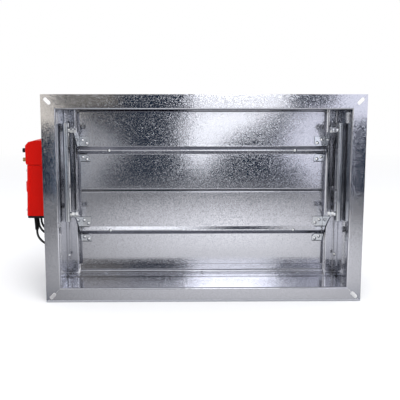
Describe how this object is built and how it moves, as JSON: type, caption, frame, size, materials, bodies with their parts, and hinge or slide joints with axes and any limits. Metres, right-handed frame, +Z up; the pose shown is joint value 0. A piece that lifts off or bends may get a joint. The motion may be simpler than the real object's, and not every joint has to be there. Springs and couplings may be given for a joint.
{
  "type": "fire damper",
  "caption": "Rectangular flanged duct fire damper with linked double-skin blades, crank levers and link bars, turned by a red spring actuator beside the casing.",
  "frame": {"origin": "centre of the duct opening in the plane of the front flange face", "axes": "+X across the duct to the right, +Y along the duct from the front flange to the rear flange, +Z up"},
  "size_m": [0.67, 0.24, 0.396],
  "materials": {
    "galvanised_sheet": "hot-dip zinc with fine spangle",
    "zinc_plate": "bright zinc plate",
    "shaft_steel": "drawn steel",
    "bronze": "sintered bronze",
    "red_housing": "moulded, slightly glossy",
    "black_plastic": "fine moulded grain",
    "black_rubber": "matt",
    "brass": "turned",
    "red_button": "glossy"
  },
  "bodies": {
    "casing": {"actuator_body": "red_housing", "actuator_bracket": "galvanised_sheet", "actuator_end_cap": "black_plastic", "actuator_head": "red_housing", "actuator_screws": "zinc_plate", "bottom_stop": "galvanised_sheet", "box_glands": "black_plastic", "bracket_screws": "zinc_plate", "casing_bottom": "galvanised_sheet", "casing_left": "galvanised_sheet", "casing_right": "galvanised_sheet", "casing_top": "galvanised_sheet", "heat_probe": "brass", "jamb_screws": "zinc_plate", "lead_boots": "black_rubber", "left_jamb": "galvanised_sheet", "lid_screws": "zinc_plate", "long_lead": "black_rubber", "lower_left_bush": "bronze", "lower_right_bush": "bronze", "middle_lead": "black_rubber", "release_box": "black_plastic", "release_lid": "black_plastic", "right_jamb": "galvanised_sheet", "short_lead": "black_rubber", "stop_rivets": "zinc_plate", "stop_screw": "brass", "top_stop": "galvanised_sheet", "upper_left_bush": "bronze", "upper_right_bush": "bronze"},
    "upper_blade": {"drive_hub": "shaft_steel", "drive_shaft": "shaft_steel", "position_indicator": "black_plastic", "upper_blade_front_skin": "galvanised_sheet", "upper_blade_left_lever": "zinc_plate", "upper_blade_pivot_bolts": "zinc_plate", "upper_blade_pivot_nuts": "zinc_plate", "upper_blade_rear_skin": "galvanised_sheet", "upper_blade_right_lever": "zinc_plate", "upper_blade_right_shaft": "shaft_steel", "upper_blade_rivets": "zinc_plate", "upper_shaft_clip": "shaft_steel"},
    "lower_blade": {"lower_blade_front_skin": "galvanised_sheet", "lower_blade_left_lever": "zinc_plate", "lower_blade_left_shaft": "shaft_steel", "lower_blade_pivot_bolts": "zinc_plate", "lower_blade_pivot_nuts": "zinc_plate", "lower_blade_rear_skin": "galvanised_sheet", "lower_blade_right_lever": "zinc_plate", "lower_blade_right_shaft": "shaft_steel", "lower_blade_rivets": "zinc_plate", "lower_shaft_clips": "shaft_steel"},
    "left_link": {"left_link_bar": "zinc_plate"},
    "right_link": {"right_link_bar": "zinc_plate"},
    "test_button": {"test_button": "red_button"}
  },
  "joints": [
    {"name": "upper_blade_turn", "type": "hinge", "parent": "casing", "child": "upper_blade", "pos_m": [0, 0.124, 0.086], "axis": [1, 0, 0], "range_deg": [0, 90], "stiffness_Nm_per_rad": 1, "springref_deg": -85.94},
    {"name": "lower_blade_turn", "type": "hinge", "parent": "casing", "child": "lower_blade", "pos_m": [0, 0.124, -0.08], "axis": [1, 0, 0], "range_deg": [0, 90]},
    {"name": "left_link_swing", "type": "hinge", "parent": "upper_blade", "child": "left_link", "pos_m": [-0.2665, 0.054, 0.13], "axis": [1, 0, 0], "range_deg": [-90, 0]},
    {"name": "right_link_swing", "type": "hinge", "parent": "upper_blade", "child": "right_link", "pos_m": [0.2665, 0.054, 0.13], "axis": [1, 0, 0], "range_deg": [-90, 0]},
    {"name": "test_button_press", "type": "slide", "parent": "casing", "child": "test_button", "axis": [1, 0, 0], "range_m": [0, 0.0025], "stiffness_N_per_m": 300}
  ],
  "couplings": [
    {"joint": "lower_blade_turn", "follows": "upper_blade_turn", "ratio": 1},
    {"joint": "left_link_swing", "follows": "upper_blade_turn", "ratio": -1},
    {"joint": "right_link_swing", "follows": "upper_blade_turn", "ratio": -1}
  ]
}
